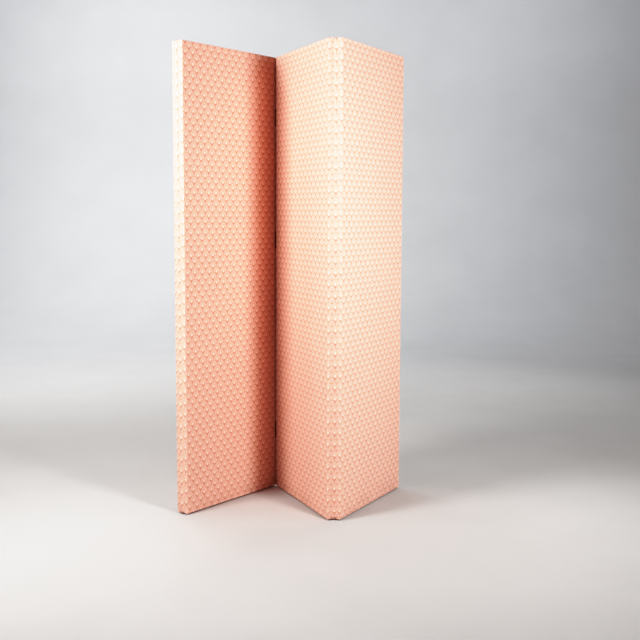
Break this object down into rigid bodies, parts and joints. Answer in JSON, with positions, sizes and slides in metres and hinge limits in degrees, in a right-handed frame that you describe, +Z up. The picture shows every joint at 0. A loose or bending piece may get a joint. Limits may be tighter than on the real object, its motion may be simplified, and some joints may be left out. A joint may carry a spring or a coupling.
{
  "type": "accordion folding partition",
  "caption": "Upholstered folding screen: patterned fabric panels that fold flat like an accordion on concealed butt hinges and stand free on small glides.",
  "frame": {"origin": "middle of the footprint on the floor, with the partition half open as stored", "axes": "+Z up; -Y towards the side that the valley fold opens to, which is the side seen in the picture; +X to the right from there"},
  "size_m": [0.8388, 0.4902, 1.69],
  "materials": {
    "upholstery_fabric": "woven cotton, small interlocking pointed-scallop repeat in cream on coral, matt",
    "lining_board": "thin hardboard, smooth, unfinished",
    "frame_timber": "planed softwood, unfinished",
    "hinge_metal": "dark bronzed steel, satin",
    "glide_metal": "nickelled steel, lightly scuffed"
  },
  "bodies": {
    "panel1": {"fold12_leaf_high_panel1": "hinge_metal", "fold12_leaf_low_panel1": "hinge_metal", "fold12_leaf_mid_panel1": "hinge_metal", "panel1_board_back": "lining_board", "panel1_board_front": "lining_board", "panel1_cover_back": "upholstery_fabric", "panel1_cover_front": "upholstery_fabric", "panel1_glide_left": "glide_metal", "panel1_glide_right": "glide_metal", "panel1_rail_bottom": "frame_timber", "panel1_rail_top": "frame_timber", "panel1_stile_left": "frame_timber", "panel1_stile_right": "frame_timber"},
    "panel2": {"fold12_leaf_high_panel2": "hinge_metal", "fold12_leaf_low_panel2": "hinge_metal", "fold12_leaf_mid_panel2": "hinge_metal", "fold23_leaf_high_panel2": "hinge_metal", "fold23_leaf_low_panel2": "hinge_metal", "fold23_leaf_mid_panel2": "hinge_metal", "panel2_board_back": "lining_board", "panel2_board_front": "lining_board", "panel2_cover_back": "upholstery_fabric", "panel2_cover_front": "upholstery_fabric", "panel2_glide_left": "glide_metal", "panel2_glide_right": "glide_metal", "panel2_rail_bottom": "frame_timber", "panel2_rail_top": "frame_timber", "panel2_stile_left": "frame_timber", "panel2_stile_right": "frame_timber"},
    "panel3": {"fold23_leaf_high_panel3": "hinge_metal", "fold23_leaf_low_panel3": "hinge_metal", "fold23_leaf_mid_panel3": "hinge_metal", "fold34_leaf_high_panel3": "hinge_metal", "fold34_leaf_low_panel3": "hinge_metal", "fold34_leaf_mid_panel3": "hinge_metal", "panel3_board_back": "lining_board", "panel3_board_front": "lining_board", "panel3_cover_back": "upholstery_fabric", "panel3_cover_front": "upholstery_fabric", "panel3_glide_left": "glide_metal", "panel3_glide_right": "glide_metal", "panel3_rail_bottom": "frame_timber", "panel3_rail_top": "frame_timber", "panel3_stile_left": "frame_timber", "panel3_stile_right": "frame_timber"},
    "panel4": {"fold34_leaf_high_panel4": "hinge_metal", "fold34_leaf_low_panel4": "hinge_metal", "fold34_leaf_mid_panel4": "hinge_metal", "panel4_board_back": "lining_board", "panel4_board_front": "lining_board", "panel4_cover_back": "upholstery_fabric", "panel4_cover_front": "upholstery_fabric", "panel4_glide_left": "glide_metal", "panel4_glide_right": "glide_metal", "panel4_rail_bottom": "frame_timber", "panel4_rail_top": "frame_timber", "panel4_stile_left": "frame_timber", "panel4_stile_right": "frame_timber"}
  },
  "joints": [
    {"name": "fold12", "type": "hinge", "parent": "panel2", "child": "panel1", "pos_m": [-0.39978, -0.16742, 0.845], "axis": [0, 0, 1], "range_deg": [0, 180]},
    {"name": "fold23", "type": "hinge", "parent": "panel2", "child": "panel3", "pos_m": [-0.0742, 0.21451, 0.845], "axis": [0, 0, 1], "range_deg": [-61.4, 118.6]},
    {"name": "fold34", "type": "hinge", "parent": "panel3", "child": "panel4", "pos_m": [0.15244, -0.23327, 0.845], "axis": [0, 0, 1], "range_deg": [-126.8, 53.2]}
  ]
}
